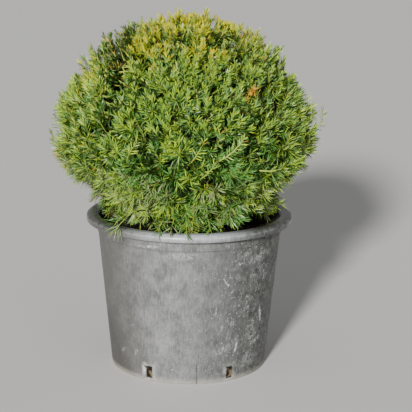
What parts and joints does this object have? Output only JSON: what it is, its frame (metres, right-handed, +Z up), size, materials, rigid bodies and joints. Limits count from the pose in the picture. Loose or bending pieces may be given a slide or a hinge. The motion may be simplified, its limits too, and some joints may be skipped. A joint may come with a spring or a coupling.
{
  "type": "potted yew",
  "caption": "Evergreen yew clipped to a round ball of fine needles on a short hidden trunk, growing in a tapered plastic nursery pot filled with compost.",
  "frame": {"origin": "centre of the pot's flat underside, on the floor", "axes": "+Z up along the pot's axis; -Y is the side the picture was taken from, and +X is to its right"},
  "size_m": [0.4775, 0.4781, 0.6399],
  "materials": {
    "pot": "weathered grey moulded plastic, faintly streaked and scratched, with a satin sheen",
    "compost": "dark crumbly bark compost, dry on top",
    "bark": "thin flaking red-brown bark",
    "foliage": "soft flat needles, yellow-green at the clipped tips and deep green within"
  },
  "bodies": {
    "root": {"bough_side_1": "bark", "bough_side_2": "bark", "bough_side_3": "bark", "bough_side_4": "bark", "bough_side_5": "bark", "bough_side_6": "bark", "bough_top": "bark", "compost": "compost", "foliage_side_1": "foliage", "foliage_side_2": "foliage", "foliage_side_3": "foliage", "foliage_side_4": "foliage", "foliage_side_5": "foliage", "foliage_side_6": "foliage", "foliage_top": "foliage", "pot": "pot", "trunk": "bark"}
  },
  "joints": []
}
